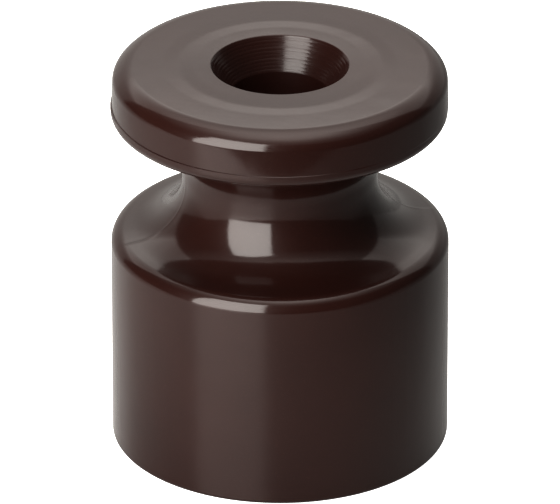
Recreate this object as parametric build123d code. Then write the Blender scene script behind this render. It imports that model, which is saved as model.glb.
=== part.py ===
from build123d import *
import os
from math import radians, tan

# Knob insulator for surface wiring, with the screw and washer that hold it to a wall.
# Origin: centre of the base face. +Z runs up the axis, from the wall to the top disc.
# The two halves of the mould that form the groove meet in the XZ plane. Millimetres.

# ---- Knob, outside -------------------------------------------------------------------
HEIGHT = 24.0              # base face to the crest of the top face
BODY_RADIUS = 10.0
BASE_EDGE_RADIUS = 0.25
SHOULDER_CORNER_Z = 13.25  # where side and shoulder would meet if the corner were sharp
SHOULDER_SLOPE = 7.0       # degrees, rising towards the neck
SHOULDER_EDGE_RADIUS = 0.88
COVE_RADIUS = 3.45         # shoulder into neck
NECK_RADIUS = 5.77
FLARE_RADIUS = 3.25        # neck into the disc's underside
DISC_RADIUS = 9.945
DISC_CORNER_Z = 20.68      # where underside and rim would meet if the corner were sharp
DISC_UNDERSIDE_SLOPE = 8.0  # degrees, rising outwards
DISC_LOWER_EDGE_RADIUS = 0.6
DISC_UPPER_EDGE_RADIUS = 0.75
RIM_DRAFT = 1.0            # degrees, the rim leans in towards the top
CREST_RADIUS = 6.0         # the top face is raised a little along this circle
CREST_SLOPE = 2.2          # degrees
CREST_ROUNDING = 5.0
CREST_REACH = 0.9          # its slopes end this far to either side of the circle
APRON_SLOPE = 0.6          # degrees, of the rest of the top face
APRON_ROUNDING = 10.0
EASING_RADIUS = 9.26       # from here the top face bends down towards the rim
EASING_SLOPE = 50.0        # degrees
EASING_ROUNDING = 1.42

# ---- Knob, screw hole ----------------------------------------------------------------
MOUTH_RADIUS = 4.07
BORE_RADIUS = 2.85
CONE_DEPTH = 1.87
SEAT_Z = 3.0               # internal step that the washer bears on
CLEARANCE_RADIUS = 1.7

# ---- Knob, underside -----------------------------------------------------------------
SKIRT_INNER_RADIUS = 8.2
TUBE_OUTER_RADIUS = 4.8
POCKET_DEPTH = 10.5
POCKET_ROOF_RADIUS = 0.6
RIB_COUNT = 6
RIB_THICKNESS = 1.2
RIB_SETBACK = 1.0          # the ribs stop short of the wall

# ---- Screw: pan head tapping screw 2.9 x 16, cross recess ----------------------------
SCREW_LENGTH = 16.0        # under the head to the point
HEAD_RADIUS = 2.7
HEAD_HEIGHT = 2.2
HEAD_CORNER_DROP = 0.15    # the head's top falls by this much to its sharp corner
HEAD_FLAT_RADIUS = 0.9
HEAD_SHOULDER_RADIUS = 1.3
CORE_RADIUS = 1.08
THREAD_RADIUS = 1.42
THREAD_PITCH = 1.1
THREAD_ROOT_RADIUS = 0.66  # the thread's root is buried this deep in the core
THREAD_CREST_WIDTH = 0.12
POINT_LENGTH = 3.2
POINT_TIP_RADIUS = 0.12
PLAIN_SHANK = 0.9          # no thread just under the head
RECESS_RADIUS = 1.5
RECESS_WING = 0.8
RECESS_DEPTH = 1.25
RECESS_FLOOR_SCALE = 0.45

# ---- Washer --------------------------------------------------------------------------
WASHER_OUTER_RADIUS = 2.75
WASHER_INNER_RADIUS = 1.55
WASHER_THICKNESS = 0.5
WASHER_EDGE = 0.08

# ---- Rest position: the screw stands in the bore with its point just above the base --
POINT_Z = 0.1
HEAD_SEAT_Z = POINT_Z + SCREW_LENGTH


def revolved(outline):
    """Solid of revolution about Z from (radius, height) points, closed along the axis."""
    wire = Polyline(*outline, close=True)
    return revolve(Plane.XZ * make_face(wire), Axis.Z)


def corner_at(face, radius, height):
    """The outline's vertex nearest to a (radius, height) place."""
    return min(face.vertices(), key=lambda v: abs(v.X - radius) + abs(v.Y - height))


def top_face_z(radius):
    """Height of the top face's sharp outline at the foot of the crest or on the apron."""
    foot = HEIGHT - CREST_REACH * tan(radians(CREST_SLOPE))
    from_crest = abs(radius - CREST_RADIUS)
    return foot - (from_crest - CREST_REACH) * tan(radians(APRON_SLOPE))


def knob_outline():
    """Half section of the knob without its hole, corners rounded, in the XY plane."""
    groove_depth = BODY_RADIUS - NECK_RADIUS
    shoulder_at_neck = SHOULDER_CORNER_Z + groove_depth * tan(radians(SHOULDER_SLOPE))
    overhang = DISC_RADIUS - NECK_RADIUS
    underside_at_neck = DISC_CORNER_Z - overhang * tan(radians(DISC_UNDERSIDE_SLOPE))
    rim_top_radius = DISC_RADIUS - (HEIGHT - DISC_CORNER_Z) * tan(radians(RIM_DRAFT))
    easing_z = top_face_z(EASING_RADIUS)
    outer_foot = CREST_RADIUS + CREST_REACH
    inner_foot = CREST_RADIUS - CREST_REACH
    rim_top_z = easing_z - (rim_top_radius - EASING_RADIUS) * tan(radians(EASING_SLOPE))
    corners = (
        (BODY_RADIUS, 0, BASE_EDGE_RADIUS),
        (BODY_RADIUS, SHOULDER_CORNER_Z, SHOULDER_EDGE_RADIUS),
        (NECK_RADIUS, shoulder_at_neck, COVE_RADIUS),
        (NECK_RADIUS, underside_at_neck, FLARE_RADIUS),
        (DISC_RADIUS, DISC_CORNER_Z, DISC_LOWER_EDGE_RADIUS),
        (rim_top_radius, rim_top_z, DISC_UPPER_EDGE_RADIUS),
        (EASING_RADIUS, easing_z, EASING_ROUNDING),
        (outer_foot, top_face_z(outer_foot), APRON_ROUNDING),
        (CREST_RADIUS, HEIGHT, CREST_ROUNDING),
        (inner_foot, top_face_z(inner_foot), APRON_ROUNDING),
    )
    places = [(radius, height) for radius, height, rounding in corners]
    face = make_face(Polyline((0, 0), *places, (0, top_face_z(0)), close=True))
    for radius, height, rounding in corners:
        face = fillet(corner_at(face, radius, height), rounding)
    return face


def screw_hole():
    """Clearance hole, seat, long bore and the cone at the mouth."""
    lip_z = top_face_z(MOUTH_RADIUS)
    cone_z = lip_z - CONE_DEPTH
    above = 1.0
    flare = (MOUTH_RADIUS - BORE_RADIUS) / CONE_DEPTH
    return revolved([
        (0, -above),
        (CLEARANCE_RADIUS, -above),
        (CLEARANCE_RADIUS, SEAT_Z),
        (BORE_RADIUS, SEAT_Z),
        (BORE_RADIUS, cone_z),
        (MOUTH_RADIUS + above * flare, lip_z + above),
        (0, lip_z + above),
    ])


def underside_pocket():
    """Ring-shaped core in the base, left open at the wall side, without its ribs."""
    roof = POCKET_DEPTH
    face = make_face(Polyline(
        (TUBE_OUTER_RADIUS, -1.0),
        (SKIRT_INNER_RADIUS, -1.0),
        (SKIRT_INNER_RADIUS, roof),
        (TUBE_OUTER_RADIUS, roof),
        close=True,
    ))
    for radius in (TUBE_OUTER_RADIUS, SKIRT_INNER_RADIUS):
        face = fillet(corner_at(face, radius, roof), POCKET_ROOF_RADIUS)
    return revolve(Plane.XZ * face, Axis.Z)


def pocket_ribs():
    """Flat ribs between the central tube and the skirt."""
    length = SKIRT_INNER_RADIUS + 0.5
    height = POCKET_DEPTH - RIB_SETBACK
    rib = Pos(length / 2, 0, RIB_SETBACK + height / 2) * Box(length, RIB_THICKNESS, height)
    ribs = [Rot(0, 0, 360 / RIB_COUNT * (n + 0.5)) * rib for n in range(RIB_COUNT)]
    core = Pos(0, 0, POCKET_DEPTH / 2) * Cylinder(TUBE_OUTER_RADIUS - 0.5, POCKET_DEPTH + 4)
    return Part() + ribs - core


def insulator_body():
    """The moulded knob in one piece."""
    knob = revolve(Plane.XZ * knob_outline(), Axis.Z)
    return knob - (underside_pocket() - pocket_ribs()) - screw_hole()


def screw_head():
    """Pan head, flat underneath, with a cross recess."""
    face = make_face(Polyline(
        (0, 0),
        (HEAD_RADIUS, 0),
        (HEAD_RADIUS, HEAD_HEIGHT - HEAD_CORNER_DROP),
        (HEAD_FLAT_RADIUS, HEAD_HEIGHT),
        (0, HEAD_HEIGHT),
        close=True,
    ))
    corner = corner_at(face, HEAD_RADIUS, HEAD_HEIGHT - HEAD_CORNER_DROP)
    face = fillet(corner, HEAD_SHOULDER_RADIUS)
    return revolve(Plane.XZ * face, Axis.Z) - cross_recess()


def cross_recess():
    """Four tapering wings around a common centre, cut from the top of the head."""
    def cross(scale):
        wing = Rectangle(2 * RECESS_RADIUS * scale, RECESS_WING * scale)
        return wing + Rot(0, 0, 90) * wing

    top = Pos(0, 0, HEAD_HEIGHT) * cross(1.0)
    floor = Pos(0, 0, HEAD_HEIGHT - RECESS_DEPTH) * cross(RECESS_FLOOR_SCALE)
    return loft([floor, top], ruled=True)


def screw_core():
    """Shank with its drawn-out point, from the point at height 0 up into the head."""
    return revolved([
        (0, 0),
        (POINT_TIP_RADIUS, 0),
        (CORE_RADIUS, POINT_LENGTH),
        (CORE_RADIUS, SCREW_LENGTH + 0.3),
        (0, SCREW_LENGTH + 0.3),
    ])


def screw_thread():
    """Right-hand sheet-metal thread, running out along the point and below the head."""
    half_root = THREAD_CREST_WIDTH / 2 + (THREAD_RADIUS - THREAD_ROOT_RADIUS) * tan(radians(27))
    tooth = Polyline(
        (THREAD_ROOT_RADIUS, -half_root),
        (THREAD_RADIUS, -THREAD_CREST_WIDTH / 2),
        (THREAD_RADIUS, THREAD_CREST_WIDTH / 2),
        (THREAD_ROOT_RADIUS, half_root),
        close=True,
    )
    start = POINT_LENGTH * THREAD_ROOT_RADIUS / CORE_RADIUS
    top = SCREW_LENGTH - PLAIN_SHANK
    path = Pos(0, 0, start) * Helix(THREAD_PITCH, top - start, THREAD_RADIUS)
    section = Pos(0, 0, start) * (Plane.XZ * make_face(tooth))
    fin = sweep(section, path=path, is_frenet=True)
    taper = revolved([
        (0, start),
        (THREAD_ROOT_RADIUS + 0.1, start),
        (THREAD_RADIUS + 0.05, POINT_LENGTH + 1.0),
        (THREAD_RADIUS + 0.05, top - 1.2),
        (CORE_RADIUS - 0.1, top),
        (0, top),
    ])
    return fin & taper


def fixing_screw():
    """Screw standing point down, placed by its point."""
    head = Pos(0, 0, SCREW_LENGTH) * screw_head()
    return Pos(0, 0, POINT_Z) * (head + screw_core() + screw_thread())


def screw_washer():
    """Soft washer directly under the screw head."""
    edge = WASHER_EDGE
    low = HEAD_SEAT_Z - WASHER_THICKNESS
    outline = Polyline(
        (WASHER_INNER_RADIUS, low),
        (WASHER_OUTER_RADIUS - edge, low),
        (WASHER_OUTER_RADIUS, low + edge),
        (WASHER_OUTER_RADIUS, HEAD_SEAT_Z - edge),
        (WASHER_OUTER_RADIUS - edge, HEAD_SEAT_Z),
        (WASHER_INNER_RADIUS, HEAD_SEAT_Z),
        close=True,
    )
    return revolve(Plane.XZ * make_face(outline), Axis.Z)


PARTS = {
    "insulator_body": insulator_body,
    "screw_washer": screw_washer,
    "fixing_screw": fixing_screw,
}

os.makedirs("parts", exist_ok=True)
for name, build in PARTS.items():
    shape = build()
    shape.label = name
    export_step(shape, f"parts/{name}.step")
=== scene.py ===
import math

import bpy
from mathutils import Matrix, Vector


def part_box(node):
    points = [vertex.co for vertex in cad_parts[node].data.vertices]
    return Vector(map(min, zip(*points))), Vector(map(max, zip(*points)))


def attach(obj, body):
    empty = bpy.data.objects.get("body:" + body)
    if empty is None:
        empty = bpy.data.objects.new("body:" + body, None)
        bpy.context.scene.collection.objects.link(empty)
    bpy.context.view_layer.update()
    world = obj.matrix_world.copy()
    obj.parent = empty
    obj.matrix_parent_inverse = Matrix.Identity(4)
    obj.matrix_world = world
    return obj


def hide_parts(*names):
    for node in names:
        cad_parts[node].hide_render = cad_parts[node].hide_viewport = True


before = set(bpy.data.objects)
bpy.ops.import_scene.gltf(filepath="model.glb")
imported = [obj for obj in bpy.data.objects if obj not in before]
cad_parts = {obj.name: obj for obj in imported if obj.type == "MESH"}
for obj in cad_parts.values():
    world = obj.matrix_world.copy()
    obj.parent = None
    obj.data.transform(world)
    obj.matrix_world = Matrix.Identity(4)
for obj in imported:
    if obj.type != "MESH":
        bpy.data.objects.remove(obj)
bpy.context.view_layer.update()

# ---- Units and driving sizes -----------------------------------------------------------
MM = 0.001
BODY_BOX_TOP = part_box("insulator_body")[1]
BODY_RADIUS = BODY_BOX_TOP.x / MM
HEIGHT = BODY_BOX_TOP.z / MM

# The knob's outline, in mm.
BASE_EDGE_RADIUS = 0.25
SHOULDER_CORNER_Z = 13.25
SHOULDER_SLOPE = math.radians(7.0)
SHOULDER_EDGE_RADIUS = 0.88
COVE_RADIUS = 3.45
NECK_RADIUS = 5.77
FLARE_RADIUS = 3.25
DISC_RADIUS = 9.945
DISC_CORNER_Z = 20.68
DISC_UNDERSIDE_SLOPE = math.radians(8.0)
DISC_LOWER_EDGE_RADIUS = 0.6
DISC_UPPER_EDGE_RADIUS = 0.75
RIM_DRAFT = math.radians(1.0)
CREST_RADIUS = 6.0         # the top face is raised a little along this circle
CREST_SLOPE = math.radians(2.2)
CREST_ROUNDING = 5.0
CREST_REACH = 0.9          # its slopes end this far to either side of the circle
APRON_SLOPE = math.radians(0.6)
APRON_ROUNDING = 10.0
EASING_RADIUS = 9.26       # from here the top face bends down towards the rim
EASING_SLOPE = math.radians(50.0)
EASING_ROUNDING = 1.42
MOUTH_RADIUS = 4.07
APRON_Z = HEIGHT - CREST_REACH * math.tan(CREST_SLOPE)
LIP_Z = APRON_Z - (CREST_RADIUS - CREST_REACH - MOUTH_RADIUS) * math.tan(APRON_SLOPE)
LIP_ROUNDING = 0.1
BORE_RADIUS = 2.85
CONE_DEPTH = 1.87
SEAT_Z = 3.0
SEAT_CORNER_RADIUS = 0.15
CLEARANCE_RADIUS = 1.7
SKIRT_INNER_RADIUS = 8.2
BASE_RING_START = SKIRT_INNER_RADIUS + 0.5  # the closed outline starts here, on the base face
TUBE_OUTER_RADIUS = 4.8
POCKET_DEPTH = 10.5
POCKET_ROOF_RADIUS = 0.6
RIB_SETBACK = 1.0
RIB_HALF_THICKNESS = 0.6
SMALL_ROUNDING = 0.12

# Marks that the mould leaves, in mm.
PARTING_Z = 21.42          # where the top plate of the mould meets its two side halves
PARTING_STEP = 0.025       # the rim is this much smaller above that line
PARTING_HALF_HEIGHT = 0.012  # the step is a short cone, this far above and below the line
SIDE_HALF_SHIFT = 0.05     # the side halves sit off centre by this much, towards -X
SHIFT_NONE_Z = 18.0        # the shift grows from nothing here
SHIFT_FULL_Z = 20.5        # to its full size here, and ends at the parting line
RIDGE_HEIGHT = 0.006       # raised line where the two side halves meet
RIDGE_HALF_WIDTH = 0.07
RIDGE_LOW_Z = SHOULDER_CORNER_Z - 0.6
RIDGE_HIGH_Z = PARTING_Z - 0.1
RIDGE_END_RADIUS = 9.65    # the raised line has faded out where it reaches this radius
RIDGE_FADE = 0.4           # over this distance
MARKED_FROM_RADIUS = NECK_RADIUS - 0.1  # shift and ridge leave everything inside this alone
TOOL_MARK_PITCH = 0.21     # turned rings in the cone of the hole
TOOL_MARK_DEPTH = 0.009
TOOL_MARK_UNEVENNESS = 0.25  # share of the depth that changes from ring to ring
TOOL_MARK_RHYTHM = 2.3     # radians from one ring's depth to the next
TOOL_MARK_SHARES = (0.0, 0.1, 0.3, 0.5, 0.7, 0.9)  # points across one ring

# How the mesh is divided. Outline points run along columns that stand round the axis.
OUTSIDE_ARC_STEP = 3.0     # degrees
INSIDE_ARC_STEP = 15.0
ANCHOR_COUNT = 12          # ribs and ridges all lie on multiples of 30 degrees
COLUMNS_BETWEEN = 10
FIXED_WIDTH_OFFSETS = (0.0, 0.035, 0.07, 0.3, 0.48, 0.565, 0.6)  # mm to a side of an anchor
SHARP_ANGLE = math.radians(32)


# ---- Outline ---------------------------------------------------------------------------
def rounded_outline(corners, degrees_per_step):
    """Points along an open run of (radius, height, rounding) corners, arcs sampled evenly."""
    points = []
    for i, (radius, height, rounding) in enumerate(corners):
        here = Vector((radius, height))
        if rounding == 0 or i in (0, len(corners) - 1):
            points.append(here)
            continue
        to_last = (Vector(corners[i - 1][:2]) - here).normalized()
        to_next = (Vector(corners[i + 1][:2]) - here).normalized()
        angle = to_last.angle(to_next)
        start = here + to_last * (rounding / math.tan(angle / 2))
        end = here + to_next * (rounding / math.tan(angle / 2))
        centre = here + (to_last + to_next).normalized() * (rounding / math.sin(angle / 2))
        turn = (start - centre).angle_signed(end - centre)
        steps = max(3, math.ceil(abs(math.degrees(turn)) / degrees_per_step))
        first = start - centre
        for k in range(steps + 1):
            a = -turn * k / steps
            points.append(centre + Vector((
                first.x * math.cos(a) - first.y * math.sin(a),
                first.x * math.sin(a) + first.y * math.cos(a),
            )))
    return points


def outside_corners():
    """From the base face up over shoulder, groove and disc, and down the hole's cone."""
    shoulder_at_neck = SHOULDER_CORNER_Z + (BODY_RADIUS - NECK_RADIUS) * math.tan(SHOULDER_SLOPE)
    overhang = DISC_RADIUS - NECK_RADIUS
    underside_at_neck = DISC_CORNER_Z - overhang * math.tan(DISC_UNDERSIDE_SLOPE)
    upper_radius = DISC_RADIUS - PARTING_STEP
    top_radius = upper_radius - (HEIGHT - PARTING_Z) * math.tan(RIM_DRAFT)
    easing_z = APRON_Z - (EASING_RADIUS - CREST_RADIUS - CREST_REACH) * math.tan(APRON_SLOPE)
    rim_top_z = easing_z - (top_radius - EASING_RADIUS) * math.tan(EASING_SLOPE)
    step_half = PARTING_HALF_HEIGHT
    return [
        (BASE_RING_START, 0, 0),
        (BODY_RADIUS, 0, BASE_EDGE_RADIUS),
        (BODY_RADIUS, SHOULDER_CORNER_Z, SHOULDER_EDGE_RADIUS),
        (NECK_RADIUS, shoulder_at_neck, COVE_RADIUS),
        (NECK_RADIUS, underside_at_neck, FLARE_RADIUS),
        (DISC_RADIUS, DISC_CORNER_Z, DISC_LOWER_EDGE_RADIUS),
        (DISC_RADIUS, PARTING_Z - 3 * step_half, 0),
        (DISC_RADIUS, PARTING_Z - step_half, 0),
        (upper_radius, PARTING_Z + step_half, 0),
        (upper_radius, PARTING_Z + 3 * step_half, 0),
        (top_radius, rim_top_z, DISC_UPPER_EDGE_RADIUS),
        (EASING_RADIUS, easing_z, EASING_ROUNDING),
        (CREST_RADIUS + CREST_REACH, APRON_Z, APRON_ROUNDING),
        (CREST_RADIUS, HEIGHT, CREST_ROUNDING),
        (CREST_RADIUS - CREST_REACH, APRON_Z, APRON_ROUNDING),
        (MOUTH_RADIUS, LIP_Z, LIP_ROUNDING),
        (BORE_RADIUS, LIP_Z - CONE_DEPTH, 0),
    ]


def tool_marked(start, end):
    """Points down the cone with shallow turned rings."""
    run = end - start
    count = round(run.length / TOOL_MARK_PITCH)
    out_of_wall = Vector((-run.y, run.x)).normalized()
    points = []
    for turn in range(count):
        wave = 1 - TOOL_MARK_UNEVENNESS * (1 - math.sin(TOOL_MARK_RHYTHM * turn))
        depth = TOOL_MARK_DEPTH * wave
        for share in TOOL_MARK_SHARES:
            cut = depth * (1 - (2 * share - 1)**2)
            points.append(start + run * ((turn + share) / count) - out_of_wall * cut)
    return points[1:]


def knob_outline():
    """Closed outline of the knob, and the first and last index of its underside pocket."""
    outside = rounded_outline(outside_corners(), OUTSIDE_ARC_STEP)
    cone = tool_marked(outside[-2], outside[-1])
    inside = rounded_outline([
        (BORE_RADIUS, LIP_Z - CONE_DEPTH, 0),
        (BORE_RADIUS, SEAT_Z, SEAT_CORNER_RADIUS),
        (CLEARANCE_RADIUS, SEAT_Z, SMALL_ROUNDING),
        (CLEARANCE_RADIUS, 0, SMALL_ROUNDING),
        (TUBE_OUTER_RADIUS, 0, SMALL_ROUNDING),
        (TUBE_OUTER_RADIUS, RIB_SETBACK, 0),
    ], INSIDE_ARC_STEP)
    pocket = rounded_outline([
        (TUBE_OUTER_RADIUS, RIB_SETBACK, 0),
        (TUBE_OUTER_RADIUS, POCKET_DEPTH, POCKET_ROOF_RADIUS),
        (SKIRT_INNER_RADIUS, POCKET_DEPTH, POCKET_ROOF_RADIUS),
        (SKIRT_INNER_RADIUS, RIB_SETBACK, 0),
    ], INSIDE_ARC_STEP)
    rim = rounded_outline([
        (SKIRT_INNER_RADIUS, RIB_SETBACK, 0),
        (SKIRT_INNER_RADIUS, 0, SMALL_ROUNDING),
        (BASE_RING_START, 0, 0),
    ], INSIDE_ARC_STEP)
    points = outside[:-1] + cone + inside[:-1]
    pocket_start = len(points)
    points += pocket
    pocket_end = len(points) - 1
    return points + rim[1:-1], pocket_start, pocket_end


# ---- Knob mesh -------------------------------------------------------------------------
def columns():
    """Each column as (anchor number, mm to a side of it, share of the way to the next)."""
    made = []
    widest = FIXED_WIDTH_OFFSETS[-1]
    for n in range(ANCHOR_COUNT):
        offsets = [-o for o in reversed(FIXED_WIDTH_OFFSETS[1:])] + list(FIXED_WIDTH_OFFSETS)
        for offset in offsets:
            made.append((n, offset, 0.0))
        for k in range(1, COLUMNS_BETWEEN + 1):
            made.append((n, widest, k / (COLUMNS_BETWEEN + 1)))
    return made


def column_angle(column, radius):
    """Angle of a column at a radius: ribs and ridges keep their width outside the tube."""
    n, offset, share = column
    spacing = 2 * math.pi / ANCHOR_COUNT
    held_radius = max(radius, TUBE_OUTER_RADIUS)
    lean = math.asin(offset / held_radius)
    free = spacing - 2 * math.asin(FIXED_WIDTH_OFFSETS[-1] / held_radius)
    return n * spacing + lean + share * free


def rib_lift(column):
    """How far a rib's lower face is rounded up at this column, or None off the ribs."""
    n, offset, share = column
    if n % 2 == 0 or share > 0:
        return None
    from_edge = RIB_HALF_THICKNESS - abs(offset)
    if from_edge >= SMALL_ROUNDING:
        return 0.0
    return SMALL_ROUNDING - math.sqrt(SMALL_ROUNDING**2 - (SMALL_ROUNDING - from_edge)**2)


def ridge(column, radius, height):
    """Raised line where the two side halves of the mould met, on +X and -X."""
    n, offset, share = column
    if share > 0 or n % (ANCHOR_COUNT // 2) or abs(offset) >= RIDGE_HALF_WIDTH:
        return 0.0
    if radius <= MARKED_FROM_RADIUS or not RIDGE_LOW_Z < height < RIDGE_HIGH_Z:
        return 0.0
    fade = min(1.0, max(0.0, (RIDGE_END_RADIUS - radius) / RIDGE_FADE))
    return RIDGE_HEIGHT * (1 - abs(offset) / RIDGE_HALF_WIDTH) * fade


def side_shift(radius, height):
    """Sideways offset of the mould's side halves, fading out down the neck."""
    if radius <= MARKED_FROM_RADIUS or height > PARTING_Z:
        return 0.0
    share = min(1.0, max(0.0, (height - SHIFT_NONE_Z) / (SHIFT_FULL_Z - SHIFT_NONE_Z)))
    return -SIDE_HALF_SHIFT * share * share * (3 - 2 * share)


def knob_mesh():
    """Grid of outline points round the axis, with ribs across the underside pocket."""
    outline, pocket_start, pocket_end = knob_outline()
    made_columns = columns()
    count = len(outline)
    normals = []
    for i in range(count):
        run = outline[(i + 1) % count] - outline[i - 1]
        normals.append(Vector((run.y, -run.x)).normalized())
    vertices = []
    for column in made_columns:
        lift = rib_lift(column)
        for i, point in enumerate(outline):
            radius, height = point
            if lift is not None and pocket_start < i < pocket_end:
                share = (i - pocket_start) / (pocket_end - pocket_start)
                radius = TUBE_OUTER_RADIUS + (SKIRT_INNER_RADIUS - TUBE_OUTER_RADIUS) * share
                height = RIB_SETBACK + lift
            raised = ridge(column, radius, height)
            radius += raised * normals[i].x
            height += raised * normals[i].y
            angle = column_angle(column, radius)
            shift = side_shift(radius, height)
            vertices.append((
                (radius * math.cos(angle) + shift) * MM,
                radius * math.sin(angle) * MM,
                height * MM,
            ))
    faces = []
    total = len(made_columns)
    for c in range(total):
        for i in range(count):
            a = c * count + i
            b = c * count + (i + 1) % count
            d = ((c + 1) % total) * count + i
            e = ((c + 1) % total) * count + (i + 1) % count
            faces.append((a, d, e, b))
    mesh = bpy.data.meshes.new("moulded_knob")
    mesh.from_pydata(vertices, [], faces)
    mesh.validate()
    mesh.shade_smooth()
    mesh.set_sharp_from_angle(angle=SHARP_ANGLE)
    return mesh


# ---- Materials -------------------------------------------------------------------------
BROWN = (0.0255, 0.0078, 0.0057, 1)    # all colours are linear
BROWN_FLOW = (0.0325, 0.0105, 0.0078, 1)
BROWN_FLECK = (0.052, 0.019, 0.014, 1)
ZINC_COOL = (0.50, 0.52, 0.55, 1)
ZINC_WARM = (0.72, 0.71, 0.68, 1)
FIBRE_DARK = (0.20, 0.035, 0.018, 1)
FIBRE_LIGHT = (0.34, 0.075, 0.035, 1)


class Nodes:
    """Short calls for building one node tree."""

    def __init__(self, owner):
        owner.use_nodes = True
        self.tree = owner.node_tree
        self.tree.nodes.clear()

    def add(self, kind, inputs=None, **settings):
        node = self.tree.nodes.new(kind)
        for name, value in settings.items():
            setattr(node, name, value)
        for name, value in (inputs or {}).items():
            if isinstance(value, bpy.types.NodeSocket):
                self.tree.links.new(value, node.inputs[name])
            else:
                node.inputs[name].default_value = value
        return node

    def millimetres(self):
        """The piece's own position in mm."""
        position = self.add("ShaderNodeTexCoord").outputs["Object"]
        scale = (1 / MM,) * 3
        return self.vector("MULTIPLY", position, scale).outputs[0]

    def vector(self, operation, first, second=(0, 0, 0)):
        return self.add("ShaderNodeVectorMath", {0: first, 1: second}, operation=operation)

    def length(self, position):
        return self.vector("LENGTH", position).outputs["Value"]

    def dot(self, first, second):
        return self.vector("DOT_PRODUCT", first, second).outputs["Value"]

    def stretched(self, position, scale):
        return self.add("ShaderNodeMapping", {"Vector": position, "Scale": scale}).outputs[0]

    def noise(self, position, scale, detail, roughness):
        node = self.add("ShaderNodeTexNoise", {
            "Vector": position, "Scale": scale, "Detail": detail, "Roughness": roughness})
        return node.outputs["Fac"]

    def remap(self, value, low, high, out_low, out_high):
        node = self.add("ShaderNodeMapRange", {
            "Value": value,
            "From Min": low,
            "From Max": high,
            "To Min": out_low,
            "To Max": out_high,
        })
        return node.outputs["Result"]

    def mix(self, share, first, second):
        return self.add("ShaderNodeMix", {0: share, 2: first, 3: second}).outputs[0]

    def mix_shader(self, share, first, second):
        return self.add("ShaderNodeMixShader", {0: share, 1: first, 2: second}).outputs[0]

    def mix_colour(self, share, first, second):
        node = self.add("ShaderNodeMix", data_type="RGBA")
        for name, value in ((0, share), (6, first), (7, second)):
            if isinstance(value, bpy.types.NodeSocket):
                self.tree.links.new(value, node.inputs[name])
            else:
                node.inputs[name].default_value = value
        return node.outputs[2]

    def math(self, operation, first, second):
        return self.add("ShaderNodeMath", {0: first, 1: second}, operation=operation).outputs[0]

    def bump(self, height, distance_mm, normal=None):
        inputs = {"Height": height, "Distance": distance_mm * MM, "Strength": 1.0}
        if normal is not None:
            inputs["Normal"] = normal
        return self.add("ShaderNodeBump", inputs).outputs["Normal"]

    def output(self, surface):
        self.add("ShaderNodeOutputMaterial", {"Surface": surface})


def brown_colour(nodes, position):
    """Dark brown with faint flow marks and fine flecks."""
    flow = nodes.noise(position, 0.12, 4.0, 0.55)
    fleck = nodes.noise(position, 9.0, 2.0, 0.6)
    colour = nodes.mix_colour(nodes.remap(flow, 0.3, 0.7, 0.0, 1.0), BROWN, BROWN_FLOW)
    return nodes.mix_colour(nodes.remap(fleck, 0.60, 0.72, 0.0, 0.35), colour, BROWN_FLECK)


def brown_gloss(nodes, position):
    """Strength and roughness of the gloss: polished outside, turned and duller in the hole."""
    parts = nodes.add("ShaderNodeSeparateXYZ", {0: position}).outputs
    level = nodes.add("ShaderNodeCombineXYZ", {"X": parts["X"], "Y": parts["Y"]}).outputs[0]
    upright = nodes.add("ShaderNodeCombineXYZ", {"Z": parts["Z"]}).outputs[0]
    radius = nodes.length(level)
    in_hole = nodes.remap(radius, MOUTH_RADIUS - 0.10, MOUTH_RADIUS - 0.05, 1.0, 0.0)
    in_bore = nodes.remap(radius, BORE_RADIUS + 0.01, BORE_RADIUS + 0.05, 1.0, 0.0)
    above_bore = nodes.remap(in_hole, 0.0, 1.0, 1.0, 0.85)
    strength = nodes.mix(in_bore, above_bore, 0.2)
    hairline = nodes.noise(nodes.stretched(position, (1.0, 1.0, 0.06)), 7.0, 6.0, 0.7)
    polished = nodes.remap(hairline, 0.35, 0.75, 0.07, 0.16)
    ring = nodes.noise(upright, 3.2, 4.0, 0.7)
    turned = nodes.remap(ring, 0.35, 0.65, 0.10, 0.30)
    return strength, nodes.mix(in_hole, polished, turned)


def brown_plastic():
    """Polished dark brown moulding compound, with orange peel and a fine grain."""
    material = bpy.data.materials.new("brown_plastic")
    nodes = Nodes(material)
    position = nodes.millimetres()
    gloss, gloss_roughness = brown_gloss(nodes, position)
    peel = nodes.noise(position, 0.55, 2.0, 0.4)
    grain = nodes.noise(position, 14.0, 2.0, 0.5)
    normal = nodes.bump(grain, 0.0006, nodes.bump(peel, 0.010))
    shader = nodes.add("ShaderNodeBsdfPrincipled", {
        "Base Color": brown_colour(nodes, position),
        "Roughness": 0.38,
        "IOR": 1.5,
        "Specular IOR Level": 0.15,
        "Coat Weight": gloss,
        "Coat Roughness": gloss_roughness,
        "Coat IOR": 1.5,
        "Normal": normal,
        "Coat Normal": normal,
    })
    nodes.output(shader.outputs[0])
    return material


def zinc_plate():
    """Bright zinc on steel: cool to warm grey, slightly cloudy, with a fine grain."""
    material = bpy.data.materials.new("zinc_plate")
    nodes = Nodes(material)
    position = nodes.millimetres()
    cloud = nodes.noise(position, 1.1, 4.0, 0.6)
    fine = nodes.noise(position, 16.0, 4.0, 0.7)
    shader = nodes.add("ShaderNodeBsdfPrincipled", {
        "Base Color": nodes.mix_colour(cloud, ZINC_COOL, ZINC_WARM),
        "Metallic": 1.0,
        "Roughness": nodes.remap(fine, 0.3, 0.7, 0.20, 0.38),
        "Normal": nodes.bump(fine, 0.004),
    })
    nodes.output(shader.outputs[0])
    return material


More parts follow.
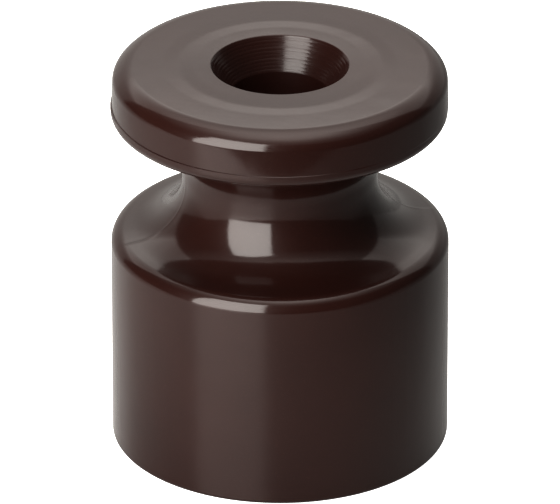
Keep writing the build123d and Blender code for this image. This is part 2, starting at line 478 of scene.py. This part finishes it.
def vulcanised_fibre():
    """Red-brown fibre sheet: matt and mottled, with its layers showing in the cut edge."""
    material = bpy.data.materials.new("vulcanised_fibre")
    nodes = Nodes(material)
    position = nodes.millimetres()
    mottle = nodes.remap(nodes.noise(position, 2.5, 5.0, 0.65), 0.3, 0.7, 0.0, 1.0)
    fibre = nodes.noise(nodes.stretched(position, (0.4, 0.4, 9.0)), 5.0, 6.0, 0.7)
    shader = nodes.add("ShaderNodeBsdfPrincipled", {
        "Base Color": nodes.mix_colour(mottle, FIBRE_DARK, FIBRE_LIGHT),
        "Roughness": nodes.remap(fibre, 0.3, 0.7, 0.55, 0.8),
        "Normal": nodes.bump(fibre, 0.03),
    })
    nodes.output(shader.outputs[0])
    return material


# ---- Pieces ----------------------------------------------------------------------------
def link(name, data):
    made = bpy.data.objects.new(name, data)
    bpy.context.scene.collection.objects.link(made)
    return made


def paint(node_name, material):
    """Gives a carried-over CAD node its procedural material."""
    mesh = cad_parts[node_name].data
    mesh.materials.clear()
    mesh.materials.append(material)


knob = link("moulded_knob", knob_mesh())
knob.data.materials.append(brown_plastic())
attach(knob, "insulator")
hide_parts("insulator_body")

paint("fixing_screw", zinc_plate())
paint("screw_washer", vulcanised_fibre())

# ---- Camera ----------------------------------------------------------------------------
CAMERA_AZIMUTH = -15.0
CAMERA_ELEVATION = 26.5
CAMERA_DISTANCE = 0.565
AIM_SHARE_OF_HEIGHT = 0.485
LENS_MM = 612.7
SENSOR_MM = 36.0
CLIP_START = 0.05
CLIP_END = 20.0


def direction(azimuth, elevation):
    """Unit vector from the object: azimuth 0 is -Y, 90 is +X; elevation from the floor."""
    a, e = math.radians(azimuth), math.radians(elevation)
    return Vector((math.sin(a) * math.cos(e), -math.cos(a) * math.cos(e), math.sin(e)))


def aimed(made, target, azimuth, elevation, distance):
    """Puts a camera or light at a direction and distance from the target, facing it."""
    away = direction(azimuth, elevation)
    made.location = target + away * distance
    made.rotation_mode = "QUATERNION"
    made.rotation_quaternion = away.to_track_quat("Z", "Y")


aim = Vector((0, 0, HEIGHT * AIM_SHARE_OF_HEIGHT * MM))
camera = link("camera", bpy.data.cameras.new("camera"))
camera.data.lens = LENS_MM
camera.data.sensor_width = SENSOR_MM
camera.data.clip_start = CLIP_START
camera.data.clip_end = CLIP_END
aimed(camera, aim, CAMERA_AZIMUTH, CAMERA_ELEVATION, CAMERA_DISTANCE)
bpy.context.scene.camera = camera


# ---- Studio ----------------------------------------------------------------------------
KEY_AZIMUTH = -34.0        # of the key light, from the camera's azimuth
KEY_MIDDLE = Vector((0, 0, 0.245))     # it stands upright beside this point
KEY_DISTANCE = 0.40
KEY_WIDTH = 0.36
KEY_HEIGHT = 0.62
KEY_RADIANCE = 4.9
KEY_COLOUR = (1, 0.988, 0.955)
TABLE_HALF_SIZE = 2.0
# Painted shade on the table: its grey darkens to the right and towards the back, where less of
# the key light falls.
TABLE_SIDE_PAINTED_SHADE = ((-0.035, 0.74), (0.035, 0.25))   # (metres to the knob's right, grey)
TABLE_DEPTH_PAINTED_SHADE = ((-0.03, 0.60), (0.01, 1.0))     # (metres in front of it, share of that)
TABLE_ROUGHNESS = 0.32
TABLE_IOR = 1.7
TABLE_FRONT_EDGE = 0.055   # metres in front of the knob's axis
TABLE_EDGE_WIDTH = 0.003
TABLE_OPENING = 0.0097     # radius of the opening under the knob, hidden by its foot
TABLE_DROP = 0.00003       # keeps the table clear of the base face
WHITE_DIFFUSE = (0.9, 0.9, 0.9, 1)     # the table as the camera sees it: shadow on white
WHITE_GLOW = 0.75
BACKDROP_AZIMUTH = 176.0   # of the backdrop's middle, from the camera's azimuth
BACKDROP_HALF_WIDTH = 58.0  # degrees
BACKDROP_EDGE = 0.03       # softness of its sides, in cosines
JUST_OVER_ONE = 1.0001     # keeps a square root off zero for a ray that points straight up
BACKDROP_STOPS = (         # (elevation in degrees, radiance)
    (0, 0.62), (20, 0.62), (24, 0.70), (27, 0.97), (30, 1.6), (34, 1.3),
    (40, 0.95), (44, 0.80), (55, 1.2), (70, 1.9), (90, 2.3))
SIDEWAYS_STOPS = (         # (how far to the right of the middle, share of that radiance)
    (-0.8, 0.66), (-0.15, 0.88), (0.0, 1.0), (0.15, 0.76), (0.8, 0.38))
SIDEWAYS_FADE = (32.0, 50.0)  # the sideways fall-off disappears between these elevations
ROOM_STOPS = ((0, 0.05), (42, 0.06), (55, 0.40), (65, 1.0), (75, 1.9), (90, 2.3))
ROOM_COLOUR = (1, 0.975, 0.936, 1)
VIEW_EXPOSURE = 0.7        # with the gamma, a contrast curve that leaves mid grey where it was
VIEW_GAMMA = 0.714


def ramp(nodes, value, stops):
    """Straight lines between (value, result) stops, level beyond both ends."""
    first, last = stops[0][0], stops[-1][0]
    highest = max(result for place, result in stops)
    curve = nodes.add("ShaderNodeValToRGB", {"Fac": nodes.remap(value, first, last, 0.0, 1.0)})
    elements = curve.color_ramp.elements
    while len(elements) < len(stops):
        elements.new(1.0)
    for element, (place, result) in zip(elements, stops):
        element.position = (place - first) / (last - first)
        element.color = (result / highest,) * 3 + (1,)
    return nodes.math("MULTIPLY", curve.outputs["Color"], highest)


def reach(nodes, vector, azimuth):
    """How far a vector reaches in the level direction at an azimuth from the camera's."""
    return nodes.dot(vector, direction(CAMERA_AZIMUTH + azimuth, 0.0))


def key_softbox():
    """Tall soft window, in front of the knob and to its left."""
    data = bpy.data.lights.new("key_softbox", "AREA")
    data.shape = "RECTANGLE"
    data.size = KEY_WIDTH
    data.size_y = KEY_HEIGHT
    data.energy = KEY_RADIANCE * math.pi * KEY_WIDTH * KEY_HEIGHT
    data.color = KEY_COLOUR
    made = link("key_softbox", data)
    made.visible_camera = False
    aimed(made, KEY_MIDDLE, CAMERA_AZIMUTH + KEY_AZIMUTH, 0.0, KEY_DISTANCE)


def table_surface(nodes, place, nothing):
    """The table as the knob reflects it: grey with painted shade, darker to the right and
    towards the back, ending in front.
    """
    forward = reach(nodes, place, 0.0)
    # painted shade: the grey darkens to the right and towards the back
    painted_shade_by_side = ramp(nodes, reach(nodes, place, 90.0), TABLE_SIDE_PAINTED_SHADE)
    grey = nodes.math("MULTIPLY", painted_shade_by_side, ramp(nodes, forward, TABLE_DEPTH_PAINTED_SHADE))
    table = nodes.add("ShaderNodeBsdfPrincipled", {
        "Base Color": grey, "Roughness": TABLE_ROUGHNESS, "IOR": TABLE_IOR})
    edge_end = TABLE_FRONT_EDGE + TABLE_EDGE_WIDTH
    past_edge = nodes.remap(forward, TABLE_FRONT_EDGE, edge_end, 0.0, 1.0)
    return nodes.mix_shader(past_edge, table.outputs[0], nothing)


def studio_floor():
    """Pale glossy table, see-through from below. The camera sees it as plain white."""
    mesh = bpy.data.meshes.new("studio_floor")
    half = TABLE_HALF_SIZE
    low = -TABLE_DROP
    corners = [(-half, -half, low), (half, -half, low), (half, half, low), (-half, half, low)]
    mesh.from_pydata(corners, [], [(0, 1, 2, 3)])
    floor = link("studio_floor", mesh)
    material = bpy.data.materials.new("studio_floor")
    nodes = Nodes(material)
    geometry = nodes.add("ShaderNodeNewGeometry").outputs
    place = geometry["Position"]
    nothing = nodes.add("ShaderNodeBsdfTransparent").outputs[0]
    table = table_surface(nodes, place, nothing)
    plain = nodes.add("ShaderNodeBsdfDiffuse", {"Color": WHITE_DIFFUSE})
    glow = nodes.add("ShaderNodeEmission", {"Color": (1, 1, 1, 1), "Strength": WHITE_GLOW})
    white = nodes.add("ShaderNodeAddShader", {0: plain.outputs[0], 1: glow.outputs[0]})
    seen = nodes.add("ShaderNodeLightPath").outputs["Is Camera Ray"]
    top = nodes.mix_shader(seen, table, white.outputs[0])
    under_knob = nodes.math("LESS_THAN", nodes.length(place), TABLE_OPENING)
    no_table = nodes.math("MAXIMUM", geometry["Backfacing"], under_knob)
    nodes.output(nodes.mix_shader(no_table, top, nothing))
    mesh.materials.append(material)


def backdrop_share(nodes, ray, height):
    """1 where a ray meets the backdrop behind the knob, 0 in the rest of the room."""
    height_squared = nodes.math("MULTIPLY", height, height)
    level = nodes.math("SQRT", nodes.math("SUBTRACT", JUST_OVER_ONE, height_squared), 0.0)
    facing = nodes.math("DIVIDE", reach(nodes, ray, BACKDROP_AZIMUTH), level)
    edge = math.cos(math.radians(BACKDROP_HALF_WIDTH))
    return nodes.remap(facing, edge - BACKDROP_EDGE, edge + BACKDROP_EDGE, 0.0, 1.0)


def studio_world():
    """White backdrop behind the object, a bright ceiling, a dim room on the camera's side."""
    world = bpy.data.worlds.new("studio")
    bpy.context.scene.world = world
    nodes = Nodes(world)
    ray = nodes.add("ShaderNodeTexCoord").outputs["Generated"]
    height = nodes.add("ShaderNodeSeparateXYZ", {0: ray}).outputs["Z"]
    elevation = nodes.math("MULTIPLY", nodes.math("ARCSINE", height, 0.0), math.degrees(1.0))
    sideways = ramp(nodes, reach(nodes, ray, 90.0), SIDEWAYS_STOPS)
    high_up = nodes.remap(elevation, *SIDEWAYS_FADE, 0.0, 1.0)
    side_share = nodes.mix(high_up, sideways, 1.0)
    backdrop = nodes.math("MULTIPLY", ramp(nodes, elevation, BACKDROP_STOPS), side_share)
    room = ramp(nodes, elevation, ROOM_STOPS)
    strength = nodes.mix(backdrop_share(nodes, ray, height), room, backdrop)
    lit = nodes.add("ShaderNodeBackground", {"Color": ROOM_COLOUR, "Strength": strength})
    plain = nodes.add("ShaderNodeBackground", {"Color": (1, 1, 1, 1), "Strength": 1.0})
    seen = nodes.add("ShaderNodeLightPath").outputs["Is Camera Ray"]
    surface = nodes.mix_shader(seen, lit.outputs[0], plain.outputs[0])
    nodes.add("ShaderNodeOutputWorld", {"Surface": surface})


key_softbox()
studio_floor()
studio_world()
view = bpy.context.scene.view_settings
view.view_transform = "Standard"
view.exposure = VIEW_EXPOSURE
view.gamma = VIEW_GAMMA
